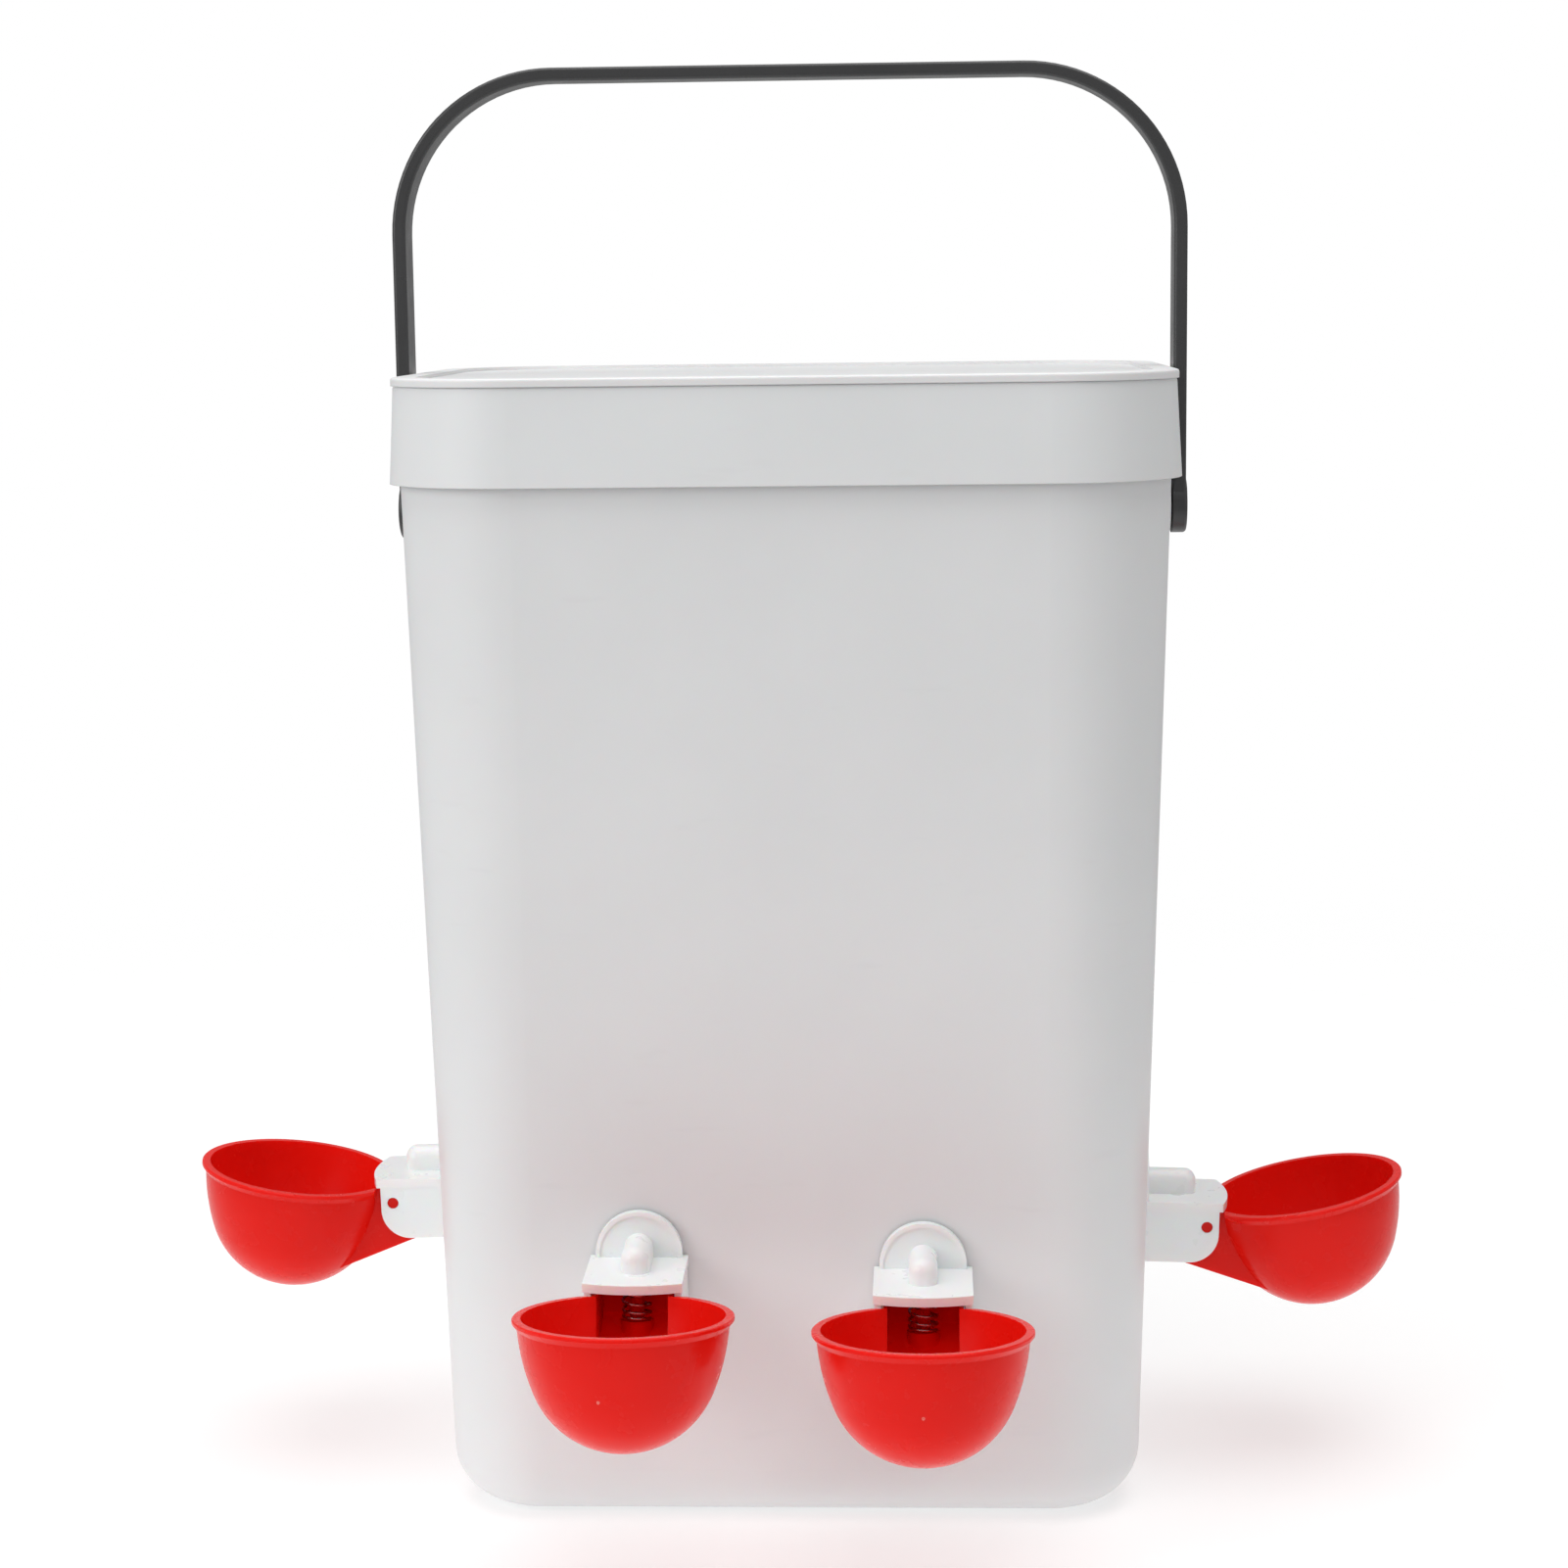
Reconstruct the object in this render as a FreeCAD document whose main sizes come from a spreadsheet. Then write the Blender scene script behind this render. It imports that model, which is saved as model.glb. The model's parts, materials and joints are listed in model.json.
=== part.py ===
import FreeCAD, Part
import math
import os

from FreeCAD import Placement, Rotation, Vector
from Sketcher import Constraint

# Poultry waterer: a lidded rectangular pail with a bail handle and four tipping drinking cups.
# Frame: origin at the middle of the pail's flat base, +Z up, the pail's front faces -Y.
# Each cup hangs in a bracket on the wall. A bracket's own frame has its origin on the wall, level
# with the top of the bracket's shelf, +X straight out of the wall and +Z up. A cup's own frame has
# its origin on its trunnions, +X towards the outer lip and +Z square to the rim.

SIZES = {
    # pail
    "pail_base_width": 194.0,
    "pail_base_depth": 145.2,
    "pail_base_corner": 26.0,
    "pail_draft": 1.587,
    "pail_height": 313.5,
    "pail_wall": 2.2,
    "pail_floor": 3.0,
    "pail_base_round": 16.0,
    "rebate_bottom": 292.0,
    "rebate_width": 209.4,
    "rebate_depth": 160.8,
    "rebate_corner": 34.0,
    "ear_radius": 8.0,
    "ear_face": 108.0,
    "hinge_height": 277.6,
    "hinge_hole_radius": 3.06,
    "shank_hole_radius": 5.7,
    # lid
    "lid_width": 215.6,
    "lid_depth": 167.0,
    "lid_corner": 36.4,
    "lid_bottom": 288.5,
    "lid_skirt_height": 26.4,
    "lid_draft": 3.2,
    "lid_wall": 1.3,
    "lid_underside": 313.9,
    "lid_lip_width": 213.8,
    "lid_lip_depth": 165.2,
    "lid_lip_thick": 2.3,
    "lid_edge_round": 0.8,
    "lid_panel_inset": 7.0,
    "lid_panel_sink": 0.9,
    "plug_inset": 4.3,
    "plug_wall": 1.4,
    "plug_drop": 6.0,
    # handle
    "handle_outer": 112.3,
    "handle_thick": 3.8,
    "handle_band": 14.0,
    "handle_top": 402.0,
    "handle_bend": 46.0,
    "handle_edge_round": 1.0,
    "handle_eye_radius": 8.0,
    "handle_eye_face": 112.7,
    "peg_radius": 3.0,
    "peg_inner_end": 100.4,
    "peg_head_radius": 3.7,
    "peg_head_thick": 1.5,
    # bracket
    "seal_thick": 1.0,
    "seal_radius": 10.2,
    "seal_bore_radius": 5.5,
    "flange_radius": 11.9,
    "flange_thick": 1.9,
    "flange_rim_width": 1.1,
    "flange_rim_rise": 0.5,
    "shelf_width": 26.8,
    "shelf_thick": 2.5,
    "shelf_reach": 24.9,
    "nose_radius": 41.9,
    "cheek_gap": 22.4,
    "cheek_width": 26.2,
    "cheek_reach": 23.9,
    "cheek_drop": 17.9,
    "cheek_corner": 8.5,
    "tube_radius": 3.95,
    "tube_rise": 2.9,
    "tube_reach": 17.7,
    "tube_end_round": 3.4,
    "bore_radius": 2.0,
    "bore_rise": 2.0,
    "nozzle_out": 12.0,
    "nozzle_radius": 3.2,
    "nozzle_tip_radius": 2.4,
    "nozzle_length": 2.8,
    "nozzle_bore": 1.0,
    "shank_rise": 1.0,
    "shank_radius": 5.4,
    "shank_length": 13.0,
    "pivot_out": 20.4,
    "pivot_drop": 7.2,
    "pivot_hole_radius": 1.66,
    # nut
    "nut_flats": 17.0,
    "nut_thick": 5.0,
    "nut_flange_radius": 10.4,
    "nut_flange_thick": 1.6,
    "nut_bore_radius": 5.5,
    # cup
    "cup_wall": 1.2,
    "bowl_out": 30.5,
    "bowl_rise": 3.1,
    "bowl_ball_radius": 25.4,
    "bowl_ball_drop": 10.0,
    "bowl_ball_angle": 21.8,
    "bowl_neck_radius": 27.6,
    "bowl_neck_drop": 2.6,
    "lip_radius": 28.9,
    "lip_width": 2.3,
    "lip_drop": 1.0,
    "lip_chamfer": 0.3,
    "bowl_notch": 5.6,
    "tail_back": 15.0,
    "tail_width": 21.6,
    "tail_slope": 30.4,
    "tail_line_drop": 14.7,
    "trunnion_radius": 1.6,
    "trunnion_span": 26.0,
    "seat_back": 9.1,
    "seat_radius": 4.5,
    "seat_drop": 6.0,
    "post_radius": 2.0,
    "post_rise": 0.3,
    # valve pad and spring
    "pad_radius": 2.5,
    "pad_thick": 1.8,
    "spring_radius": 3.8,
    "spring_wire": 0.4,
    "spring_turns": 5.0,
    "spring_play": 0.05,
}

# Where the cups are: compass angle of the wall they stand on, place along it, height, and how far
# the spring tips the cup up.
STATIONS = {
    "front_left": {"turn": -90.0, "along": -41.0, "height": 78.4, "tilt": 7.8},
    "front_right": {"turn": -90.0, "along": 36.6, "height": 75.2, "tilt": 7.1},
    "side_left": {"turn": 180.0, "along": 0.0, "height": 82.7, "tilt": 9.8},
    "side_right": {"turn": 0.0, "along": 0.0, "height": 75.5, "tilt": 13.2},
}

# How far joined features run into each other, and how far a cutter runs past what it cuts.
LAP = 0.5
PAST = 5.0

doc = FreeCAD.newDocument("poultry_waterer")
sheet = doc.addObject("Spreadsheet::Sheet", "Sizes")


class Size:
    """A dimension: its expression on the sheet together with its value."""

    def __init__(self, text, value):
        self.text = text
        self.value = float(value)

    def __add__(self, other):
        other = as_size(other)
        return Size(f"({self.text} + {other.text})", self.value + other.value)

    def __sub__(self, other):
        other = as_size(other)
        return Size(f"({self.text} - {other.text})", self.value - other.value)

    def __mul__(self, other):
        other = as_size(other)
        return Size(f"({self.text} * {other.text})", self.value * other.value)

    def __truediv__(self, other):
        other = as_size(other)
        return Size(f"({self.text} / {other.text})", self.value / other.value)

    def __neg__(self):
        return Size(f"(0 - {self.text})", -self.value)


def as_size(number):
    if isinstance(number, Size):
        return number
    return Size(repr(float(number)), number)


def size(name):
    return Size(f"Sizes.{name}", SIZES[name])


def tangent(angle):
    """The tangent of an angle given in plain degrees."""
    return Size(f"tan({angle.text} * 1 deg)", math.tan(math.radians(angle.value)))


def sine(angle):
    """The sine of an angle given in plain degrees."""
    return Size(f"sin({angle.text} * 1 deg)", math.sin(math.radians(angle.value)))


def cosine(angle):
    """The cosine of an angle given in plain degrees."""
    return Size(f"cos({angle.text} * 1 deg)", math.cos(math.radians(angle.value)))


def fill_sheet():
    for station_name, station in STATIONS.items():
        SIZES[f"{station_name}_along"] = station["along"]
        SIZES[f"{station_name}_height"] = station["height"]
        SIZES[f"{station_name}_tilt"] = station["tilt"]
    for row, (name, value) in enumerate(SIZES.items(), start=1):
        sheet.set(f"A{row}", name)
        sheet.set(f"B{row}", str(value))
        sheet.setAlias(f"B{row}", name)
    doc.recompute()


def bind(thing, prop, amount):
    thing.setExpression(prop, as_size(amount).text)


# ---------------------------------------------------------------- sketches

def origin_plane(body, role):
    return next(part for part in body.Origin.OriginFeatures if part.Role == role)


def add_sketch(body, role, name, lift=0.0):
    """A sketch on one of the body's origin planes, raised along the plane's normal."""
    sketch = body.newObject("Sketcher::SketchObject", f"{body.Name}_{name}")
    sketch.AttachmentSupport = [(origin_plane(body, role), "")]
    sketch.MapMode = "FlatFace"
    bind(sketch, ".AttachmentOffset.Base.z", lift)
    return sketch


def pin_point(sketch, geometry, position, across, up):
    """Hold a point at its distances from the sketch's origin."""
    for kind, axis, amount in (("DistanceX", -2, across), ("DistanceY", -1, up)):
        if amount.value == 0.0:
            sketch.addConstraint(Constraint("PointOnObject", geometry, position, axis))
            continue
        index = sketch.addConstraint(Constraint(kind, -1, 1, geometry, position, amount.value))
        sketch.setExpression(f"Constraints[{index}]", amount.text)


def arc_between(start, end, radius, bulge):
    """An arc from start to end; bulge is 1 when it swells to the left of that direction."""
    chord = end - start
    left = Vector(-chord.y, chord.x, 0).normalize()
    half = chord.Length / 2
    sagitta = radius - math.sqrt(radius ** 2 - half ** 2)
    return Part.Arc(start, (start + end) / 2 + left * bulge * sagitta, end)


def add_outline(sketch, corners, arcs=None):
    """A closed outline through the corners; arcs maps a side's number to (radius, bulge)."""
    arcs = arcs or {}
    corners = [(as_size(across), as_size(up)) for across, up in corners]
    points = [Vector(across.value, up.value, 0) for across, up in corners]
    ends = []
    for side, start in enumerate(points):
        end = points[(side + 1) % len(points)]
        if side in arcs:
            radius, bulge = arcs[side]
            curve = arc_between(start, end, radius.value, bulge)
            index = sketch.addGeometry(curve)
            first = sketch.getPoint(index, 1)
            forward = (first - start).Length < (first - end).Length
            ends.append((index, 1, 2) if forward else (index, 2, 1))
        else:
            ends.append((sketch.addGeometry(Part.LineSegment(start, end)), 1, 2))
    for side, (index, first, last) in enumerate(ends):
        after, after_first, _ = ends[(side + 1) % len(ends)]
        sketch.addConstraint(Constraint("Coincident", index, last, after, after_first))
        pin_point(sketch, index, first, *corners[side])
    for side, (radius, _) in arcs.items():
        index = sketch.addConstraint(Constraint("Radius", ends[side][0], radius.value))
        sketch.setExpression(f"Constraints[{index}]", radius.text)


def add_rectangle(sketch, left, bottom, right, top):
    add_outline(sketch, [(left, bottom), (right, bottom), (right, top), (left, top)])


def add_circle(sketch, across, up, radius):
    across, up, radius = as_size(across), as_size(up), as_size(radius)
    middle = Vector(across.value, up.value, 0)
    index = sketch.addGeometry(Part.Circle(middle, Vector(0, 0, 1), radius.value))
    pin_point(sketch, index, 3, across, up)
    held = sketch.addConstraint(Constraint("Radius", index, radius.value))
    sketch.setExpression(f"Constraints[{held}]", radius.text)


def add_rounded_rectangle(sketch, half_width, half_depth, corner):
    """Four sides and four corner arcs, centred on the sketch's origin."""
    flat_x = half_width - corner
    flat_y = half_depth - corner
    corners = [
        (-flat_x, -half_depth), (flat_x, -half_depth),
        (half_width, -flat_y), (half_width, flat_y),
        (flat_x, half_depth), (-flat_x, half_depth),
        (-half_width, flat_y), (-half_width, -flat_y),
    ]
    add_outline(sketch, corners, {side: (corner, -1) for side in (1, 3, 5, 7)})


# ---------------------------------------------------------------- features

def new_body(label):
    body = doc.addObject("PartDesign::Body", label)
    body.Label = label
    return body


def extrude(body, kind, sketch, length, reverse=False, midplane=False, taper=None):
    """A Pad or a Pocket of a sketch."""
    feature = body.newObject(f"PartDesign::{kind}", f"{sketch.Name}_{kind.lower()}")
    feature.Profile = sketch
    feature.Reversed = reverse
    feature.Midplane = midplane
    bind(feature, "Length", length)
    if taper is not None:
        bind(feature, "TaperAngle", taper)
    sketch.Visibility = False
    doc.recompute()
    return feature


def pad(body, sketch, length, **options):
    return extrude(body, "Pad", sketch, length, **options)


def pocket(body, sketch, length, **options):
    """A Pocket that must take material away."""
    before = body.Shape.Volume
    feature = extrude(body, "Pocket", sketch, length, **options)
    if body.Shape.Volume >= before - 1e-3:
        raise RuntimeError(f"{feature.Name} removes nothing")
    return feature


def round_edges(body, radius, chosen):
    """Fillet the edges of the body's tip that the test picks."""
    tip = body.Tip
    names = [f"Edge{i}" for i, edge in enumerate(tip.Shape.Edges, start=1) if chosen(edge)]
    if not names:
        raise RuntimeError(f"{body.Label}: no edges to round")
    feature = body.newObject("PartDesign::Fillet", f"{body.Name}_fillet_{len(body.Group)}")
    feature.Base = (tip, names)
    bind(feature, "Radius", radius)
    doc.recompute()
    return feature


def hollow_out(body, tool):
    """Cut another body's solid from this one."""
    feature = body.newObject("PartDesign::Boolean", f"{body.Name}_hollow")
    feature.setObjects([tool])
    feature.Type = "Cut"
    doc.recompute()
    return feature


def lies_at(edge, axis, level, slack=0.02):
    """True when the whole edge lies at one level along an axis (0, 1 or 2)."""
    box = edge.BoundBox
    low = (box.XMin, box.YMin, box.ZMin)[axis]
    high = (box.XMax, box.YMax, box.ZMax)[axis]
    return abs(low - level) < slack and abs(high - level) < slack


# ---------------------------------------------------------------- placing

def wall_point(turn, along, height):
    """The point of the drafted outer wall at a height, and the frame of a bracket there."""
    growth = math.tan(math.radians(SIZES["pail_draft"])) * height
    on_side = turn in (0.0, 180.0)
    half = (SIZES["pail_base_width"] if on_side else SIZES["pail_base_depth"]) / 2 + growth
    heading = Rotation(Vector(0, 0, 1), turn)
    outward = heading.multVec(Vector(1, 0, 0))
    place = outward * half + Vector(0, 0, height)
    place += Vector(0, along, 0) if on_side else Vector(along, 0, 0)
    return Placement(place, heading * Rotation(Vector(0, 1, 0), SIZES["pail_draft"]))


def cup_frame(bracket, tilt):
    """A cup's frame: on the trunnions, tipped up by the spring."""
    to_pivot = Placement(Vector(SIZES["pivot_out"], 0, -SIZES["pivot_drop"]), Rotation())
    tipped = Placement(Vector(), Rotation(Vector(0, 1, 0), -tilt))
    return bracket * to_pivot * tipped


# ---------------------------------------------------------------- pail, lid and handle

def make_pail():
    """A drafted box with round corners, a rebated rim for the lid, two ears and four holes."""
    body = new_body("pail_body")
    draft = size("pail_draft")
    wall = size("pail_wall")
    floor = size("pail_floor")
    height = size("pail_height")
    half_width = size("pail_base_width") / 2
    half_depth = size("pail_base_depth") / 2
    corner = size("pail_base_corner")

    outside = add_sketch(body, "XY_Plane", "outside")
    add_rounded_rectangle(outside, half_width, half_depth, corner)
    pad(body, outside, height, taper=draft)
    round_edges(body, size("pail_base_round"), lambda edge: lies_at(edge, 2, 0.0))

    inset = wall - floor * tangent(draft)
    cavity = new_body("pail_cavity")
    inside = add_sketch(cavity, "XY_Plane", "inside", floor)
    add_rounded_rectangle(inside, half_width - inset, half_depth - inset, corner - inset)
    pad(cavity, inside, height, taper=draft)
    inner_round = size("pail_base_round") - wall
    round_edges(cavity, inner_round, lambda edge: lies_at(edge, 2, SIZES["pail_floor"]))
    hollow_out(body, cavity)

    rebate = add_sketch(body, "XY_Plane", "rebate", size("rebate_bottom"))
    add_rectangle(rebate, -size("lid_width"), -size("lid_width"), size("lid_width"), size("lid_width"))
    add_rounded_rectangle(rebate, size("rebate_width") / 2, size("rebate_depth") / 2, size("rebate_corner"))
    pocket(body, rebate, height, reverse=True)

    half_at_hinge = half_width + size("hinge_height") * tangent(draft)
    root = half_at_hinge - wall / 2
    for name, side in (("ear_right", 1), ("ear_left", -1)):
        ear = add_sketch(body, "YZ_Plane", name, root * side)
        add_circle(ear, 0.0, size("hinge_height"), size("ear_radius"))
        pad(body, ear, size("ear_face") - root, reverse=side < 0)
    hinge = add_sketch(body, "YZ_Plane", "hinge_hole")
    add_circle(hinge, 0.0, size("hinge_height"), size("hinge_hole_radius"))
    pocket(body, hinge, size("lid_width") * 2, midplane=True)

    for name, station in STATIONS.items():
        on_side = station["turn"] in (0.0, 180.0)
        hole = add_sketch(body, "YZ_Plane" if on_side else "XZ_Plane", f"{name}_hole")
        level = size(f"{name}_height") + size("shank_rise")
        add_circle(hole, size(f"{name}_along"), level, size("shank_hole_radius"))
        pocket(body, hole, size("pail_base_width"), reverse=station["turn"] == 0.0 or not on_side)
    return body


def make_lid():
    """A skirted cap: a thin lip over the skirt, a sunk top panel and a plug rim underneath."""
    body = new_body("lid")
    bottom = size("lid_bottom")
    skirt_height = size("lid_skirt_height")
    draft = size("lid_draft")
    wall = size("lid_wall")
    half_width = size("lid_width") / 2
    half_depth = size("lid_depth") / 2
    corner = size("lid_corner")
    lip_width = size("lid_lip_width") / 2
    lip_depth = size("lid_lip_depth") / 2
    lip_corner = corner - (half_width - lip_width)
    lip_bottom = bottom + skirt_height

    skirt = add_sketch(body, "XY_Plane", "skirt", bottom)
    add_rounded_rectangle(skirt, half_width, half_depth, corner)
    pad(body, skirt, skirt_height, taper=-draft)
    skirt_top = SIZES["lid_bottom"] + SIZES["lid_skirt_height"]
    round_edges(body, size("lid_edge_round"), lambda edge: lies_at(edge, 2, skirt_top))

    lip = add_sketch(body, "XY_Plane", "lip", lip_bottom)
    add_rounded_rectangle(lip, lip_width, lip_depth, lip_corner)
    pad(body, lip, size("lid_lip_thick"))
    top = skirt_top + SIZES["lid_lip_thick"]
    round_edges(body, size("lid_edge_round"), lambda edge: lies_at(edge, 2, top))

    panel = add_sketch(body, "XY_Plane", "panel", lip_bottom + size("lid_lip_thick"))
    sunk = size("lid_panel_inset")
    add_rounded_rectangle(panel, lip_width - sunk, lip_depth - sunk, lip_corner - sunk)
    pocket(body, panel, size("lid_panel_sink"))

    hollow = add_sketch(body, "XY_Plane", "hollow", bottom)
    add_rounded_rectangle(hollow, half_width - wall, half_depth - wall, corner - wall)
    pocket(body, hollow, size("lid_underside") - bottom, reverse=True, taper=-draft)

    plug = add_sketch(body, "XY_Plane", "plug", size("lid_underside") - size("plug_drop"))
    inset = size("plug_inset")
    for step in (inset, inset + size("plug_wall")):
        add_rounded_rectangle(plug, lip_width - step, lip_depth - step, lip_corner - step)
    pad(body, plug, size("plug_drop") + LAP)
    return body


def make_handle():
    """A flat bail bent over two wide corners, with an eye and a headed peg at each end."""
    body = new_body("handle")
    outer = size("handle_outer")
    inner = outer - size("handle_thick")
    top = size("handle_top")
    under = top - size("handle_thick")
    bend = size("handle_bend")
    inner_bend = bend - size("handle_thick")
    spring_line = top - bend
    arc_foot = outer - bend
    low = size("hinge_height")

    band = add_sketch(body, "XZ_Plane", "band")
    corners = [
        (outer, low), (outer, spring_line), (arc_foot, top), (-arc_foot, top),
        (-outer, spring_line), (-outer, low), (-inner, low), (-inner, spring_line),
        (-arc_foot, under), (arc_foot, under), (inner, spring_line), (inner, low),
    ]
    bends = {1: (bend, -1), 3: (bend, -1), 7: (inner_bend, 1), 9: (inner_bend, 1)}
    add_outline(band, corners, bends)
    pad(body, band, size("handle_band"), midplane=True)
    half_band = SIZES["handle_band"] / 2
    short = SIZES["handle_band"]

    def is_long(edge):
        on_a_side = lies_at(edge, 1, half_band) or lies_at(edge, 1, -half_band)
        return on_a_side and edge.Length > short

    round_edges(body, size("handle_edge_round"), is_long)

    eye_face = size("handle_eye_face")
    for name, side in (("right", 1), ("left", -1)):
        eye = add_sketch(body, "YZ_Plane", f"eye_{name}", inner * side)
        add_circle(eye, 0.0, low, size("handle_eye_radius"))
        pad(body, eye, eye_face - inner, reverse=side < 0)
        peg = add_sketch(body, "YZ_Plane", f"peg_{name}", (inner + LAP) * side)
        add_circle(peg, 0.0, low, size("peg_radius"))
        pad(body, peg, inner + LAP - size("peg_inner_end"), reverse=side > 0)
        head = add_sketch(body, "YZ_Plane", f"head_{name}", size("peg_inner_end") * side)
        add_circle(head, 0.0, low, size("peg_head_radius"))
        pad(body, head, size("peg_head_thick"), reverse=side < 0)
    face = SIZES["handle_eye_face"]
    round_edges(body, size("handle_edge_round"),
                lambda edge: lies_at(edge, 0, face) or lies_at(edge, 0, -face))
    return body


# ---------------------------------------------------------------- one drinking station

def make_bracket(name, frame):
    """Wall flange, feed tube, shelf with a bowed nose, two cheeks and a hollow shank."""
    body = new_body(f"{name}_bracket")
    back = size("seal_thick")
    face = back + size("flange_thick")
    half_shelf = size("shelf_width") / 2
    half_gap = size("cheek_gap") / 2
    drop = size("cheek_drop")
    reach = size("cheek_reach")
    round_off = size("cheek_corner")
    axis = size("shank_rise")

    shelf = add_sketch(body, "XY_Plane", "shelf")
    corners = [(back, -half_shelf), (size("shelf_reach"), -half_shelf),
               (size("shelf_reach"), half_shelf), (back, half_shelf)]
    add_outline(shelf, corners, {1: (size("nose_radius"), -1)})
    pad(body, shelf, size("shelf_thick"), reverse=True)

    for side_name, side in (("near", 1), ("far", -1)):
        cheek = add_sketch(body, "XZ_Plane", f"cheek_{side_name}", half_gap * side)
        outline = [(back, -size("shelf_thick") / 2), (back, -drop), (reach - round_off, -drop),
                   (reach, round_off - drop), (reach, -size("shelf_thick") / 2)]
        add_outline(cheek, outline, {2: (round_off, -1)})
        pad(body, cheek, size("cheek_width") / 2 - half_gap, reverse=side < 0)

    flange = add_sketch(body, "YZ_Plane", "flange", back)
    add_circle(flange, 0.0, axis, size("flange_radius"))
    pad(body, flange, size("flange_thick"))
    rim = add_sketch(body, "YZ_Plane", "rim", face)
    add_circle(rim, 0.0, axis, size("flange_radius"))
    add_circle(rim, 0.0, axis, size("flange_radius") - size("flange_rim_width"))
    pad(body, rim, size("flange_rim_rise"))

    tube = add_sketch(body, "YZ_Plane", "tube", back)
    radius = size("tube_radius")
    rise = size("tube_rise")
    foot = -size("shelf_thick") / 2
    arch = [(-radius, foot), (radius, foot), (radius, rise), (0.0, rise + radius), (-radius, rise)]
    add_outline(tube, arch, {2: (radius, -1), 3: (radius, -1)})
    pad(body, tube, size("tube_reach") - back)
    tube_end = SIZES["tube_reach"]
    round_edges(body, size("tube_end_round"),
                lambda edge: lies_at(edge, 0, tube_end) and edge.BoundBox.ZMax > SIZES["tube_rise"])

    nozzle = add_sketch(body, "XZ_Plane", "nozzle")
    seat = -size("shelf_thick") / 2
    tip = -size("shelf_thick") - size("nozzle_length")
    middle = size("nozzle_out")
    add_outline(nozzle, [(middle, seat), (middle, tip), (middle + size("nozzle_tip_radius"), tip),
                         (middle + size("nozzle_radius"), -size("shelf_thick")),
                         (middle + size("nozzle_radius"), seat)])
    cone = body.newObject("PartDesign::Revolution", f"{nozzle.Name}_turned")
    cone.Profile = nozzle
    cone.ReferenceAxis = (nozzle, ["Edge1"])
    cone.Angle = 360.0
    doc.recompute()

    shank = add_sketch(body, "YZ_Plane", "shank", back + LAP)
    add_circle(shank, 0.0, axis, size("shank_radius"))
    pad(body, shank, size("shank_length") + back + LAP, reverse=True)

    bore = add_sketch(body, "YZ_Plane", "bore", -size("shank_length") - PAST)
    add_circle(bore, 0.0, size("bore_rise"), size("bore_radius"))
    bore_length = size("shank_length") + PAST + middle + size("bore_radius")
    pocket(body, bore, bore_length, reverse=True)
    feed = add_sketch(body, "XY_Plane", "feed", size("bore_rise"))
    add_circle(feed, middle, 0.0, size("nozzle_bore"))
    pocket(body, feed, size("bore_rise") - tip + PAST)

    pivot = add_sketch(body, "XZ_Plane", "pivot")
    add_circle(pivot, size("pivot_out"), -size("pivot_drop"), size("pivot_hole_radius"))
    pocket(body, pivot, size("shelf_width") * 2, midplane=True)
    body.Placement = frame
    return body


def make_seal(name, frame):
    """A flat rubber ring between the flange and the wall."""
    body = new_body(f"{name}_seal")
    ring = add_sketch(body, "YZ_Plane", "ring")
    add_circle(ring, 0.0, size("shank_rise"), size("seal_radius"))
    add_circle(ring, 0.0, size("shank_rise"), size("seal_bore_radius"))
    pad(body, ring, size("seal_thick"))
    body.Placement = frame
    return body


def make_nut(name, frame):
    """A flanged hexagon nut that draws the shank up from inside the pail."""
    body = new_body(f"{name}_nut")
    inner_face = -size("pail_wall")
    apothem = size("nut_flats") / 2
    axis = size("shank_rise")
    washer = add_sketch(body, "YZ_Plane", "washer", inner_face)
    add_circle(washer, 0.0, axis, size("nut_flange_radius"))
    pad(body, washer, size("nut_flange_thick"), reverse=True)
    hexagon = add_sketch(body, "YZ_Plane", "hexagon", inner_face)
    across_corner = apothem / math.cos(math.radians(30))
    half_side = across_corner / 2
    top = axis + apothem
    bottom = axis - apothem
    add_outline(hexagon, [(across_corner, axis), (half_side, top), (-half_side, top),
                          (-across_corner, axis), (-half_side, bottom), (half_side, bottom)])
    pad(body, hexagon, size("nut_thick"), reverse=True)
    bore = add_sketch(body, "YZ_Plane", "bore")
    add_circle(bore, 0.0, axis, size("nut_bore_radius"))
    pocket(body, bore, size("nut_thick") * 2)
    body.Placement = frame
    return body


def free_sketch(name):
    """A sketch on the upright plane, outside any body: its y is the piece's z."""
    sketch = doc.addObject("Sketcher::SketchObject", name)
    sketch.Placement = Placement(Vector(), Rotation(Vector(1, 0, 0), 90))
    return sketch


def boolean(kind, name, first, second):
    result = doc.addObject(f"Part::{kind}", name)
    result.Base = first
    result.Tool = second
    return result


def side_slab(name, corners, width):
    """A block with the given side outline, centred across the piece."""
    sketch = free_sketch(f"{name}_outline")
    add_outline(sketch, corners)
    slab = doc.addObject("Part::Extrusion", name)
    slab.Base = sketch
    slab.DirMode = "Custom"
    slab.Dir = Vector(0, 1, 0)
    slab.Solid = True
    slab.Symmetric = True
    bind(slab, "LengthFwd", width)
    return slab


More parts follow.
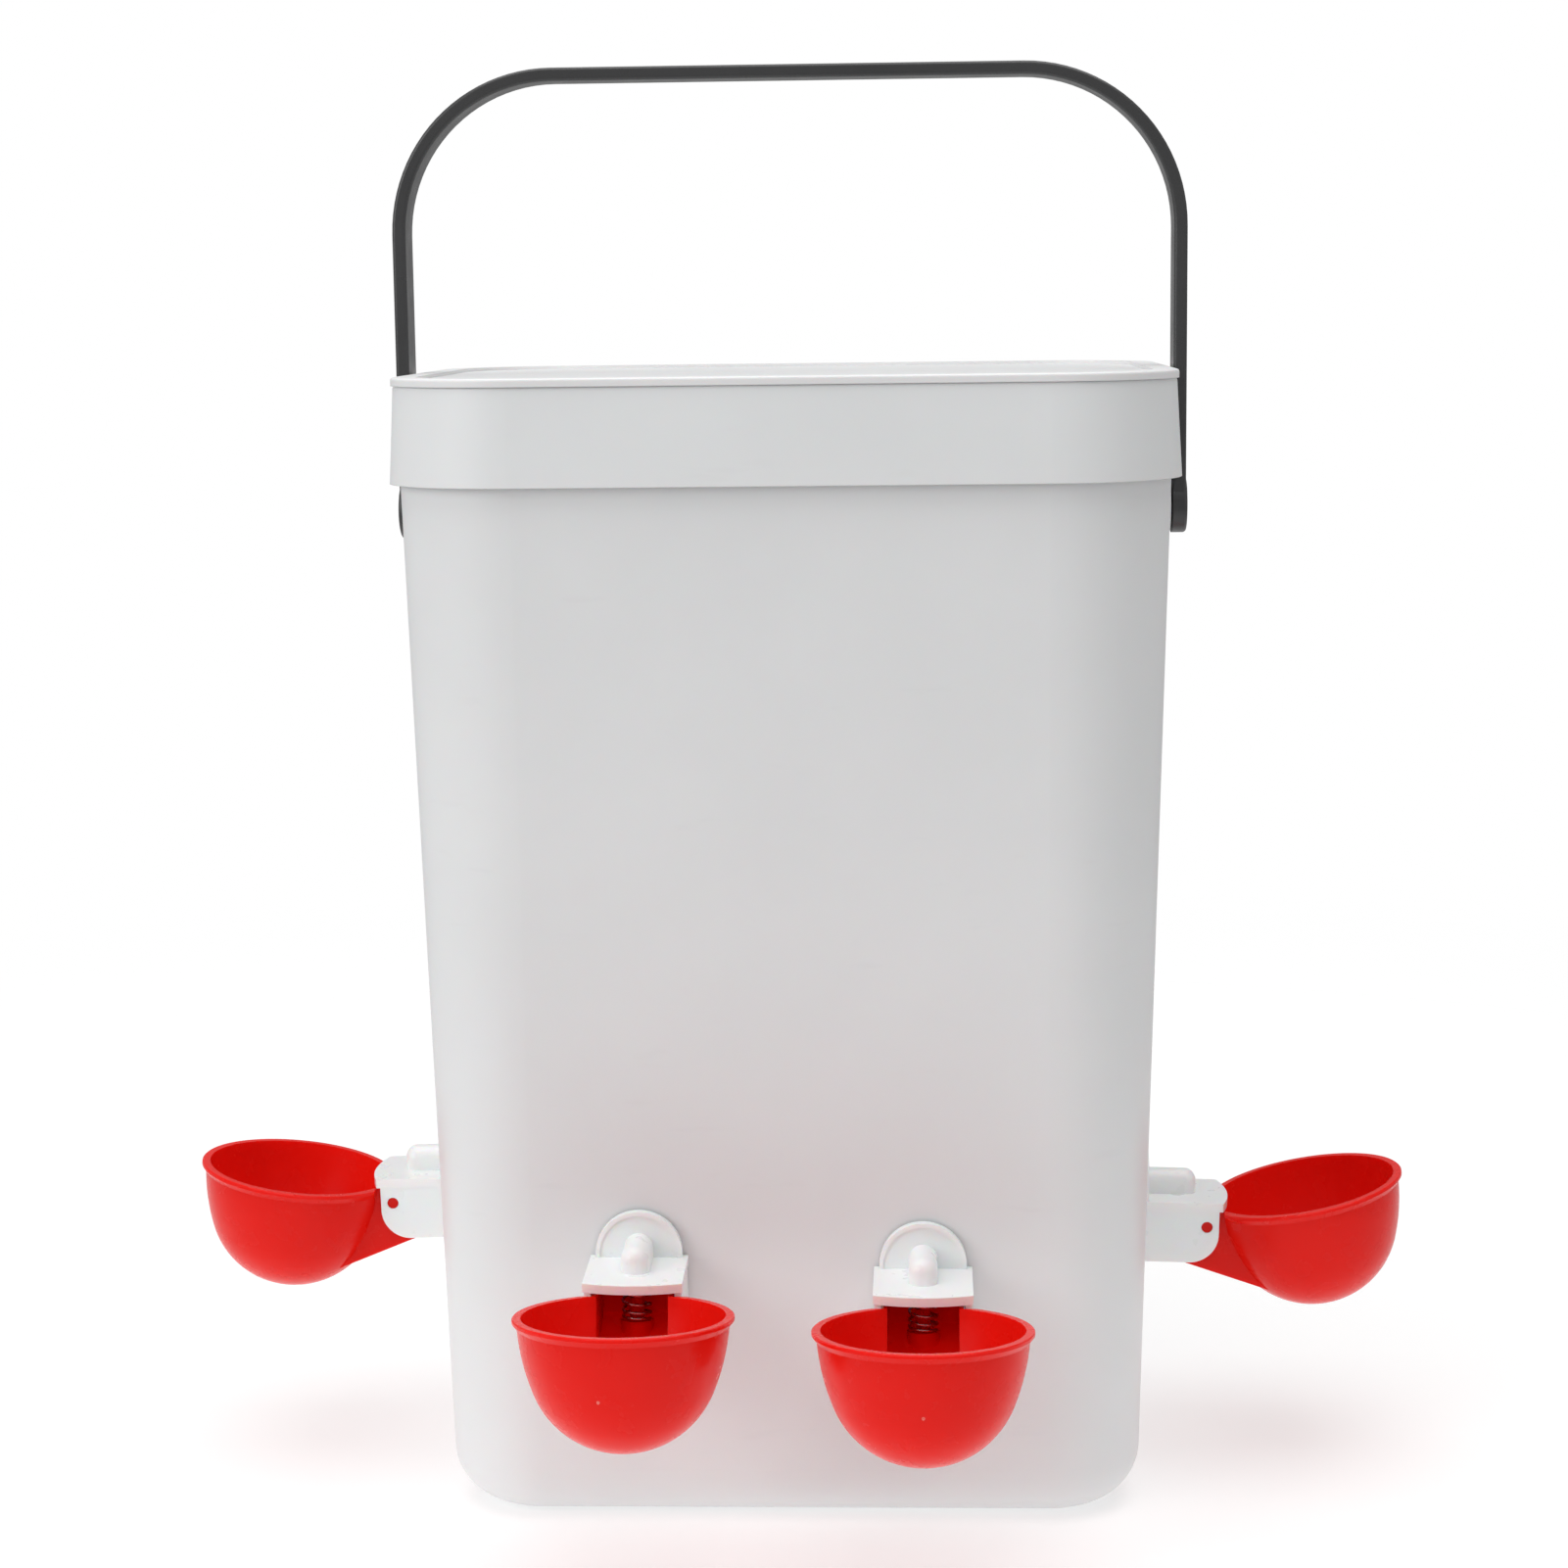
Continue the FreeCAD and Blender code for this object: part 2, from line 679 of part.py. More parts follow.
def cup_volume(name, inset, with_lip):
    """The cup's filled form: a round bowl and a tail with a sloping floor between the cheeks."""
    centre = size("bowl_out")
    rim = size("bowl_rise")
    lip = size("lip_radius")
    ball = size("bowl_ball_radius") - inset
    ball_level = rim - size("bowl_ball_drop")
    angle = size("bowl_ball_angle")
    join = ball * cosine(angle)
    join_level = ball_level - ball * sine(angle)
    neck = size("bowl_neck_radius") - inset
    neck_level = rim - size("bowl_neck_drop")
    top = rim if with_lip else rim + PAST

    # the side's radius makes it leave the ball without a corner
    out = neck - join
    up = neck_level - join_level
    side = (out * out + up * up) / ((out * cosine(angle) - up * sine(angle)) * -2)

    profile = free_sketch(f"{name}_profile")
    corners = [(centre, ball_level - ball), (centre + join, join_level), (centre + neck, neck_level)]
    if with_lip:
        chamfer = size("lip_chamfer")
        corners += [(centre + lip, rim - size("lip_drop")), (centre + lip, rim - chamfer),
                    (centre + lip - chamfer, rim)]
    else:
        mouth = lip - size("lip_width")
        corners += [(centre + mouth, rim), (centre + mouth, top)]
    corners.append((centre, top))
    add_outline(profile, corners, {0: (ball, -1), 1: (side, -1)})
    bowl = doc.addObject("Part::Revolution", f"{name}_bowl")
    bowl.Source = profile
    bowl.Axis = Vector(0, 0, 1)
    bind(bowl, ".Base.x", centre)
    bowl.Angle = 360.0
    bowl.Solid = True

    # the bowl stops short of the cheeks
    notch = size("bowl_notch")
    far = centre + lip * 2
    block = [(notch, -far), (far, -far), (far, far), (notch, far)]
    bowl_block = side_slab(f"{name}_bowl_block", block, lip * 3)
    bowl_part = boolean("Common", f"{name}_bowl_part", bowl, bowl_block)

    slope = tangent(size("tail_slope"))
    floor_level = inset / cosine(size("tail_slope")) - size("tail_line_drop")
    back = inset - size("tail_back")
    front = centre - PAST * 2
    tail_sides = [(back, top), (back, floor_level - back * slope),
                  (front, floor_level - front * slope), (front, top)]
    tail = side_slab(f"{name}_tail", tail_sides, size("tail_width") - inset * 2)
    return boolean("Fuse", f"{name}_volume", bowl_part, tail)


def cylinder(name, radius, height, place):
    """A Part cylinder at a placement."""
    solid = doc.addObject("Part::Cylinder", name)
    bind(solid, "Radius", radius)
    bind(solid, "Height", height)
    solid.Placement = place
    return solid


def make_cup(name, frame):
    """A bowl with a tail between the cheeks, two trunnions, a spring seat and a valve post."""
    label = f"{name}_cup"
    wall = size("cup_wall")
    outside = cup_volume(f"{label}_outer", as_size(0.0), True)
    inside = cup_volume(f"{label}_inner", wall, False)
    shell = boolean("Cut", f"{label}_shell", outside, inside)

    half_span = SIZES["trunnion_span"] / 2
    stub_root = SIZES["tail_width"] / 2 - SIZES["cup_wall"] / 2
    stub_length = size("trunnion_span") / 2 - size("tail_width") / 2 + wall / 2
    across = Rotation(Vector(1, 0, 0), -90)
    pieces = [shell]
    for side_name, start in (("near", -half_span), ("far", stub_root)):
        place = Placement(Vector(0, start, 0), across)
        stub = cylinder(f"{label}_trunnion_{side_name}", size("trunnion_radius"), stub_length, place)
        pieces.append(stub)

    downward = Rotation(Vector(1, 0, 0), 180)
    seat_top = Placement(Vector(-SIZES["seat_back"], 0, -SIZES["seat_drop"]), downward)
    boss = cylinder(f"{label}_boss", size("seat_radius"), size("tail_line_drop"), seat_top)
    seat = boolean("Common", f"{label}_seat", boss, outside)
    post_foot = Placement(Vector(-SIZES["seat_back"], 0, -SIZES["seat_drop"] - LAP), Rotation())
    post_height = size("post_rise") + size("seat_drop") + LAP
    post = cylinder(f"{label}_post", size("post_radius"), post_height, post_foot)
    pieces += [seat, post]
    cup = doc.addObject("Part::MultiFuse", label)
    cup.Shapes = pieces
    cup.Refine = True
    cup.Label = label
    doc.recompute()
    cup.Placement = frame
    return cup


def make_valve_pad(name, frame):
    """The rubber button on the cup's post that closes the nozzle."""
    body = new_body(f"{name}_valve_pad")
    button = add_sketch(body, "XY_Plane", "button", size("post_rise"))
    add_circle(button, -size("seat_back"), 0.0, size("pad_radius"))
    pad(body, button, size("pad_thick"))
    body.Placement = frame
    return body


def spring_gap(tilt):
    """Length of a spring from under the shelf to where it first meets the tipped seat."""
    seat_out = size("pivot_out") - size("seat_back") * cosine(tilt) + size("seat_drop") * sine(tilt)
    seat_depth = size("seat_back") * sine(tilt) + size("seat_drop") * cosine(tilt)
    spring_edge = size("nozzle_out") + size("spring_radius") + size("spring_wire")
    under_shelf = size("pivot_drop") - size("shelf_thick")
    rise_to_edge = (spring_edge - seat_out) * tangent(tilt)
    return under_shelf + seat_depth - rise_to_edge - size("spring_play")


def make_spring(name, frame):
    """A compression spring round the nozzle, between the shelf and the cup's seat."""
    label = f"{name}_spring"
    length = spring_gap(size(f"{name}_tilt"))
    helix = doc.addObject("Part::Helix", f"{label}_path")
    wire = size("spring_wire")
    travel = length - wire * 2
    bind(helix, "Height", travel)
    bind(helix, "Pitch", travel / size("spring_turns"))
    bind(helix, "Radius", size("spring_radius"))
    helix.Style = "New style"
    section = doc.addObject("Part::Circle", f"{label}_section")
    bind(section, "Radius", wire)
    section.Placement = Placement(Vector(SIZES["spring_radius"], 0, 0), Rotation(Vector(1, 0, 0), 90))
    spring = doc.addObject("Part::Sweep", label)
    spring.Sections = [section]
    spring.Spine = (helix, ["Edge1"])
    spring.Solid = True
    spring.Frenet = True
    spring.Label = label
    doc.recompute()
    lowest = -SIZES["shelf_thick"] - length.value + SIZES["spring_wire"]
    spring.Placement = frame * Placement(Vector(SIZES["nozzle_out"], 0, lowest), Rotation())
    return spring


# ---------------------------------------------------------------- the whole waterer

def check(pieces):
    """Stop if any object failed or any piece has no sound shape."""
    doc.recompute()
    for thing in doc.Objects:
        if {"Invalid", "Error"} & set(thing.State):
            raise RuntimeError(f"{thing.Label}: {thing.State}")
    for piece in pieces:
        if piece.Shape.isNull() or not piece.Shape.isValid() or not piece.Shape.Solids:
            raise RuntimeError(f"{piece.Label}: no valid solid")


fill_sheet()
pieces = [make_pail(), make_lid(), make_handle()]
for station_name, station in STATIONS.items():
    bracket_frame = wall_point(station["turn"], station["along"], station["height"])
    tipped_frame = cup_frame(bracket_frame, station["tilt"])
    pieces.append(make_bracket(station_name, bracket_frame))
    pieces.append(make_seal(station_name, bracket_frame))
    pieces.append(make_nut(station_name, bracket_frame))
    pieces.append(make_cup(station_name, tipped_frame))
    pieces.append(make_valve_pad(station_name, tipped_frame))
    pieces.append(make_spring(station_name, bracket_frame))
check(pieces)

os.makedirs("parts", exist_ok=True)
for piece in pieces:
    piece.Shape.exportStep(f"parts/{piece.Label}.step")
    box = piece.Shape.BoundBox
    volume = piece.Shape.Volume / 1000
    print(f"{piece.Label:22s} {volume:8.3f} cm3",
          f"{box.XLength:6.1f} x {box.YLength:6.1f} x {box.ZLength:6.1f} mm")
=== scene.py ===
import json
import math

import bmesh
import bpy
from mathutils import Matrix, Vector


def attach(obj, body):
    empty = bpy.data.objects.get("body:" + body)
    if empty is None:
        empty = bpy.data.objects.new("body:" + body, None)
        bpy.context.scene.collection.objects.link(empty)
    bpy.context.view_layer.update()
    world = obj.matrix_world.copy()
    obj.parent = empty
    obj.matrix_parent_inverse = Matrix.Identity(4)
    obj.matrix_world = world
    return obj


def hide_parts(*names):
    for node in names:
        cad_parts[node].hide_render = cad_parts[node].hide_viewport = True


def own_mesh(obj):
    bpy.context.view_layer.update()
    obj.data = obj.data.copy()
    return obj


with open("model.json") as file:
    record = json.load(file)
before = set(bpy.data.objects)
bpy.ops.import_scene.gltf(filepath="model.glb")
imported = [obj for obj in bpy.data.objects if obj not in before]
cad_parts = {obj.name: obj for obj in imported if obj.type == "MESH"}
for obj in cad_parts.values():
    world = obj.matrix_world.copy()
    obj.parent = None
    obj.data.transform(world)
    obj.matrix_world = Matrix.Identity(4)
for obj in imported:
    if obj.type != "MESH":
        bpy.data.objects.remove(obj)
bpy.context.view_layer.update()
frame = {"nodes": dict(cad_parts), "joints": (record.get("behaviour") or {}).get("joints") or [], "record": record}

MM = 0.001

# Angles in degrees. A cup's tilt is how far its rim is turned up from square to the wall.
CUP_TILTS = {"front_left": 7.8, "front_right": 7.1, "side_left": 9.8, "side_right": 13.2}
WALL_DRAFT = 1.587

# The spring, in millimetres from the cup's pivot. The nozzle and the shelf's underside are in
# the bracket's frame, and the seat is in the cup's: outwards, then up. END_WINDING draws the
# turns together at both ends. SQUASH_PER_DEGREE is the share of its height that a spring loses
# for each degree that its cup turns.
NOZZLE_BACK = 8.4
SHELF_RISE = 4.7
SEAT = (-9.1, -6.0)
SEAT_CLEARANCE = 0.1
SPRING_RADIUS = 3.8
WIRE_RADIUS = 0.42
WIRE_SIDES = 10
WIRE_TIP = 0.6
SPRING_TURNS = 5.2
STEPS_PER_TURN = 36
END_WINDING = 0.055

# The ball that the bowl is part of, in millimetres in the cup's frame, and the moulding mark on
# it. MARK_TURNS go round the bowl and MARK_DIP goes down it, in degrees from its front. The
# mark's profile runs inwards from its foot, in shares of its radius: across, then out.
BOWL_CENTRE = (30.5, -6.9)
BOWL_RADIUS = 25.4
MARK_TURNS = {"front_left": -10.0, "front_right": 0.0, "side_left": 0.0, "side_right": 0.0}
MARK_DIP = 16.0
MARK_RADIUS = 0.5
MARK_PROFILE = ((1.0, 0.0), (0.86, 0.16), (0.62, 0.30), (0.34, 0.24), (0.12, 0.16))
MARK_SINK = 0.03
MARK_STRETCH = 1.25
MARK_SIDES = 20
MARK_LOBES = 3
MARK_LOBE_DEPTH = 0.06
MARK_LOBE_TURN = 1.0

# The studio, in metres, and the lights' power in watts. The world is white where the camera
# sees it, and gives less light than that.
FLOOR_RADIUS = 1.6
FLOOR_FADE_START = 0.2
FLOOR_FADE_END = 0.9
FLOOR_GREY = 0.60
FLOOR_GLOW = 0.46
WORLD_SEEN = 1.0
WORLD_LIGHT = 0.40
LIGHTS = {
    "key": {"place": (-1.4, -1.1, 0.9), "target": (0, 0, 0.2), "side": 1.1, "power": 11.5},
    "fill": {"place": (1.5, -0.9, 0.8), "target": (0, 0, 0.2), "side": 1.2, "power": 1.0},
    "top": {"place": (0.0, -0.1, 1.7), "target": (0, 0, 0), "side": 1.8, "power": 22.0},
}

# The camera, in degrees and millimetres.
CAMERA_YAW = -2.56
CAMERA_PITCH = 8.59
CAMERA_ROLL = -0.69
CAMERA_PLACE = (38.1, -924.6, 337.05)
LENS_LENGTH = 73.76
SENSOR_WIDTH = 36.0
CLIP_START = 50.0


# ---------------------------------------------------------------- materials

# The clouds that every moulded plastic shares, in millimetres across.
TINT_CLOUD = 45.0
SHEEN_CLOUD = 7.0
WAVE_CLOUD = 38.0
BEVEL_SAMPLES = 8

# A Mix node has sockets of the same name for each kind of value. These are the colours' places.
MIX_FIRST = 6
MIX_SECOND = 7
MIX_RESULT = 2


class Nodes:
    """A material's node tree, with short calls for the nodes used here."""

    def __init__(self, name):
        self.material = bpy.data.materials.new(name)
        self.material.use_nodes = True
        self.tree = self.material.node_tree
        self.shader = self.tree.nodes["Principled BSDF"]
        self.place = self.add("ShaderNodeTexCoord").outputs["Object"]

    def add(self, kind, **settings):
        node = self.tree.nodes.new(kind)
        for key, value in settings.items():
            setattr(node, key, value)
        return node

    def link(self, source, target):
        self.tree.links.new(source, target)

    def noise(self, size_mm, detail, stretch=(1.0, 1.0, 1.0)):
        """Noise with features about size_mm across, drawn out along the axes where stretch is small."""
        mapping = self.add("ShaderNodeMapping")
        mapping.inputs["Scale"].default_value = stretch
        self.link(self.place, mapping.inputs["Vector"])
        texture = self.add("ShaderNodeTexNoise")
        texture.inputs["Scale"].default_value = 1 / (size_mm * MM)
        texture.inputs["Detail"].default_value = detail
        self.link(mapping.outputs["Vector"], texture.inputs["Vector"])
        return texture.outputs["Fac"]

    def spread(self, value, low, high, start=0.3, end=0.7):
        """The value between start and end mapped to low..high, and held level beyond."""
        node = self.add("ShaderNodeMapRange")
        node.inputs["From Min"].default_value = start
        node.inputs["From Max"].default_value = end
        node.inputs["To Min"].default_value = low
        node.inputs["To Max"].default_value = high
        self.link(value, node.inputs["Value"])
        return node.outputs["Result"]

    def blend(self, factor, first, second):
        """Two colours, each a tuple or another node's output, mixed by a factor."""
        node = self.add("ShaderNodeMix", data_type="RGBA")
        self.link(factor, node.inputs["Factor"])
        for place, colour in ((MIX_FIRST, first), (MIX_SECOND, second)):
            socket = node.inputs[place]
            if isinstance(colour, tuple):
                socket.default_value = (*colour, 1.0)
            else:
                self.link(colour, socket)
        return node.outputs[MIX_RESULT]

    def specks(self, spacing_mm, radius_mm):
        """1 on small sparse dots, 0 elsewhere."""
        cells = self.add("ShaderNodeTexVoronoi")
        cells.inputs["Scale"].default_value = 1 / (spacing_mm * MM)
        self.link(self.place, cells.inputs["Vector"])
        return self.spread(cells.outputs["Distance"], 1.0, 0.0, start=0.0, end=radius_mm / spacing_mm)

    def bump(self, height, depth_mm, before=None):
        """Shading as if the surface rose and fell with the height, over an earlier normal."""
        node = self.add("ShaderNodeBump")
        node.inputs["Distance"].default_value = depth_mm * MM
        self.link(height, node.inputs["Height"])
        if before is not None:
            self.link(before, node.inputs["Normal"])
        return node.outputs["Normal"]

    def soft_edges(self, radius_mm):
        """Shading as if sharp edges were slightly round."""
        node = self.add("ShaderNodeBevel", samples=BEVEL_SAMPLES)
        node.inputs["Radius"].default_value = radius_mm * MM
        return node.outputs["Normal"]

    def set(self, **values):
        """Give the shader's inputs plain values or other nodes' outputs."""
        names = {"colour": "Base Color", "roughness": "Roughness", "normal": "Normal"}
        for key, value in values.items():
            socket = self.shader.inputs[names.get(key, key.replace("_", " "))]
            if isinstance(value, bpy.types.NodeSocket):
                self.link(value, socket)
            else:
                socket.default_value = value


def moulded_plastic(name, light, dark, gloss, grain_mm, grain_depth, edge_mm=None, wave_depth=0.02):
    """Injection-moulded plastic: cloudy tint, uneven gloss, fine grain and a slight waviness."""
    nodes = Nodes(name)
    nodes.tint = nodes.blend(nodes.spread(nodes.noise(TINT_CLOUD, 4.0), 0.0, 1.0), light, dark)
    sheen_map = nodes.spread(nodes.noise(SHEEN_CLOUD, 4.0), *gloss)
    normal = nodes.soft_edges(edge_mm) if edge_mm else None
    normal = nodes.bump(nodes.noise(WAVE_CLOUD, 1.0), wave_depth, normal)
    normal = nodes.bump(nodes.noise(grain_mm, 2.0), grain_depth, normal)
    nodes.set(colour=nodes.tint, roughness=sheen_map, normal=normal)
    return nodes


def white_pail():
    """Satin white with a few specks of dirt and faint upright scuffs."""
    nodes = moulded_plastic("white_pail", (0.80, 0.805, 0.81), (0.775, 0.78, 0.785),
                            gloss=(0.38, 0.46), grain_mm=0.9, grain_depth=0.004,
                            edge_mm=0.5, wave_depth=0.03)
    dirt = nodes.blend(nodes.specks(spacing_mm=34.0, radius_mm=0.5), nodes.tint, (0.34, 0.33, 0.32))
    scratches = nodes.noise(9.0, 6.0, stretch=(0.3, 0.3, 1.4))
    scuffs = nodes.spread(scratches, 0.0, 0.12, start=0.66, end=0.78)
    nodes.set(colour=nodes.blend(scuffs, dirt, (0.60, 0.60, 0.60)))
    nodes.set(Subsurface_Weight=0.08, Subsurface_Scale=0.004, IOR=1.49)
    return nodes.material


def white_fitting():
    """The brackets' and nuts' smooth white, which light gets a little way into."""
    nodes = moulded_plastic("white_fitting", (0.93, 0.93, 0.93), (0.91, 0.91, 0.91),
                            gloss=(0.26, 0.34), grain_mm=0.8, grain_depth=0.002, wave_depth=0.005)
    nodes.set(Subsurface_Weight=0.35, Subsurface_Scale=0.004, IOR=1.49)
    return nodes.material


def red_cup():
    """Glossy red, which light gets further into."""
    nodes = moulded_plastic("red_cup", (0.80, 0.010, 0.005), (0.76, 0.008, 0.004),
                            gloss=(0.24, 0.29), grain_mm=1.2, grain_depth=0.001, wave_depth=0.01)
    nodes.set(Subsurface_Weight=0.5, Subsurface_Scale=0.006, Specular_IOR_Level=0.14)
    return nodes.material


def gate_scar_and_highlight():
    """A lighter red: partly the cup's plastic where it whitened as it was cut from the mould's feed, partly a
    painted highlight on the small nub.
    """
    nodes = moulded_plastic("gate_scar_and_highlight", (0.88, 0.24, 0.20), (0.84, 0.16, 0.13),
                            gloss=(0.30, 0.42), grain_mm=0.3, grain_depth=0.004, wave_depth=0.0)
    return nodes.material


def dark_handle():
    """Satin charcoal."""
    nodes = moulded_plastic("dark_handle", (0.046, 0.046, 0.047), (0.038, 0.038, 0.039),
                            gloss=(0.26, 0.36), grain_mm=0.5, grain_depth=0.005, edge_mm=0.5)
    nodes.set(IOR=1.49)
    return nodes.material


def seal_rubber():
    """Dull black."""
    nodes = moulded_plastic("seal_rubber", (0.030, 0.030, 0.031), (0.020, 0.020, 0.021),
                            gloss=(0.55, 0.75), grain_mm=0.4, grain_depth=0.012, edge_mm=0.2)
    return nodes.material


def spring_steel():
    """Drawn wire, with fine lines of tint and gloss."""
    nodes = Nodes("spring_steel")
    drawn = nodes.noise(0.5, 4.0, stretch=(1.0, 1.0, 0.3))
    tint = nodes.blend(nodes.spread(drawn, 0.0, 1.0), (0.60, 0.60, 0.61), (0.42, 0.42, 0.43))
    nodes.set(colour=tint, roughness=nodes.spread(drawn, 0.18, 0.38),
              normal=nodes.bump(drawn, 0.01), Metallic=1.0)
    return nodes.material


FINISHES = {"white_pail": white_pail(), "white_fitting": white_fitting(), "red_cup": red_cup(),
            "dark_handle": dark_handle(), "seal_rubber": seal_rubber(), "spring_steel": spring_steel()}
# The gate mark's lighter red is partly whitened plastic and partly a painted highlight.
GATE_SCAR_AND_HIGHLIGHT = gate_scar_and_highlight()


def paint_cad_nodes():
    """Each CAD node's own finish."""
    for part in frame["record"]["subparts"]:
        node = frame["nodes"][part["node"]]
        node.data.materials.clear()
        node.data.materials.append(FINISHES[part["material_slot"]])


# ---------------------------------------------------------------- pieces

def add_piece(name, mesh_data, body, slot, finish=None):
    """A mesh in the frame's metres that rides on a body, in its slot's finish or another."""
    mesh = bpy.data.meshes.new(name)
    mesh_data.to_mesh(mesh)
    mesh_data.free()
    for polygon in mesh.polygons:
        polygon.use_smooth = True
    mesh.materials.append(finish or FINISHES[slot])
    piece = bpy.data.objects.new(name, mesh)
    bpy.context.scene.collection.objects.link(piece)
    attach(piece, body)
    return piece


def pivot_frames(station):
    """The bracket's and the cup's frames at the pivot: +X outwards, +Z up, in millimetres."""
    joint = next(j for j in frame["joints"] if j["name"] == f"{station}_tip")
    across = Vector(joint["axis"])
    outward = Vector((across.y, -across.x, 0))
    turn = Matrix.Rotation(math.atan2(outward.y, outward.x), 4, "Z")
    at_pivot = Matrix.Translation(Vector(joint["pos_m"])) @ turn @ Matrix.Scale(MM, 4)
    bracket = at_pivot @ Matrix.Rotation(math.radians(WALL_DRAFT), 4, "Y")
    cup = bracket @ Matrix.Rotation(math.radians(-CUP_TILTS[station]), 4, "Y")
    return bracket, cup


def join_rings(mesh, ring, following):
    """A band of faces between two rings of as many points."""
    for step in range(len(ring)):
        after = (step + 1) % len(ring)
        mesh.faces.new((ring[step], ring[after], following[after], following[step]))


def wire_along(points):
    """The spring's round wire through the points, with blunt pointed ends."""
    mesh = bmesh.new()
    rings = []
    last = len(points) - 1
    side = Vector((0, 1, 0))
    for index, point in enumerate(points):
        forward = (points[min(index + 1, last)] - points[max(index - 1, 0)]).normalized()
        side = (side - forward * side.dot(forward)).normalized()
        up = forward.cross(side)
        ring = []
        for step in range(WIRE_SIDES):
            angle = math.tau * step / WIRE_SIDES
            spoke = side * math.cos(angle) + up * math.sin(angle)
            ring.append(mesh.verts.new(point + spoke * WIRE_RADIUS))
        rings.append(ring)
    for ring, following in zip(rings, rings[1:]):
        join_rings(mesh, ring, following)
    ends = ((rings[0], points[0], points[1]), (rings[-1], points[-1], points[-2]))
    for ring, point, neighbour in ends:
        tip = mesh.verts.new(point + (point - neighbour).normalized() * WIRE_RADIUS * WIRE_TIP)
        for step in range(WIRE_SIDES):
            mesh.faces.new((ring[step], ring[(step + 1) % WIRE_SIDES], tip))
    bmesh.ops.recalc_face_normals(mesh, faces=mesh.faces)
    return mesh


def add_spring(station):
    """A coil from the shelf's underside to the cup's tilted seat, closer wound at both ends."""
    bracket, _ = pivot_frames(station)
    lean = math.radians(CUP_TILTS[station])
    seat = Vector((SEAT[0] * math.cos(lean) - SEAT[1] * math.sin(lean), 0,
                   SEAT[0] * math.sin(lean) + SEAT[1] * math.cos(lean)))
    top = Vector((-NOZZLE_BACK, 0, SHELF_RISE - WIRE_RADIUS))
    bottom = seat + Vector((0, 0, WIRE_RADIUS + SEAT_CLEARANCE))
    steps = int(SPRING_TURNS * STEPS_PER_TURN)
    points = []
    for step in range(steps + 1):
        along = step / steps
        eased = along - END_WINDING * math.sin(math.tau * along)
        centre = top.lerp(bottom, eased)
        angle = math.tau * SPRING_TURNS * along
        tilt = Matrix.Rotation(-lean * eased, 4, "Y")
        rim = tilt @ Vector((math.cos(angle), math.sin(angle), 0)) * SPRING_RADIUS
        points.append(centre + rim)
    mesh = wire_along(points)
    mesh.transform(bracket)
    spring = add_piece(f"{station}_coil", mesh, "pail", "spring_steel")
    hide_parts(f"{station}_spring")
    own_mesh(spring)


def add_gate_mark(station):
    """The small raised nub with a dimple that moulding leaves on the bowl."""
    _, cup = pivot_frames(station)
    mesh = bmesh.new()
    rings = []
    for share, rise in MARK_PROFILE:
        ring = []
        for step in range(MARK_SIDES):
            angle = math.tau * step / MARK_SIDES
            wobble = 1 + MARK_LOBE_DEPTH * math.sin(MARK_LOBES * angle + MARK_LOBE_TURN)
            across = math.cos(angle) * share * MARK_RADIUS * wobble
            up = math.sin(angle) * share * MARK_RADIUS * wobble * MARK_STRETCH
            ring.append(mesh.verts.new((rise * MARK_RADIUS - MARK_SINK, across, up)))
        rings.append(ring)
    for ring, following in zip(rings, rings[1:]):
        join_rings(mesh, ring, following)
    mesh.faces.new(rings[-1])
    bmesh.ops.recalc_face_normals(mesh, faces=mesh.faces)
    centre = Matrix.Translation(Vector((BOWL_CENTRE[0], 0, BOWL_CENTRE[1])))
    turn = Matrix.Rotation(math.radians(MARK_TURNS[station]), 4, "Z")
    dip = Matrix.Rotation(math.radians(MARK_DIP), 4, "Y")
    surface = Matrix.Translation(Vector((BOWL_RADIUS, 0, 0)))
    mesh.transform(cup @ centre @ turn @ dip @ surface)
    # The nub's lighter red is partly whitened plastic and partly a painted highlight.
    add_piece(f"{station}_gate_mark", mesh, f"{station}_cup", "red_cup", GATE_SCAR_AND_HIGHLIGHT)


# ---------------------------------------------------------------- studio

def add_floor():
    """A pale disc that fades out into the white surround."""
    mesh = bmesh.new()
    bmesh.ops.create_circle(mesh, cap_ends=True, segments=96, radius=FLOOR_RADIUS)
    data = bpy.data.meshes.new("floor")
    mesh.to_mesh(data)
    mesh.free()
    floor = bpy.data.objects.new("floor", data)
    bpy.context.scene.collection.objects.link(floor)
    nodes = Nodes("pale_floor")
    distance = nodes.add("ShaderNodeVectorMath", operation="LENGTH")
    nodes.link(nodes.place, distance.inputs[0])
    fade = nodes.spread(distance.outputs["Value"], 1.0, 0.0, start=FLOOR_FADE_START, end=FLOOR_FADE_END)
    nodes.set(colour=(FLOOR_GREY, FLOOR_GREY, FLOOR_GREY, 1.0), roughness=0.8, Alpha=fade)
    nodes.set(Emission_Color=(1.0, 1.0, 1.0, 1.0), Emission_Strength=FLOOR_GLOW)
    data.materials.append(nodes.material)


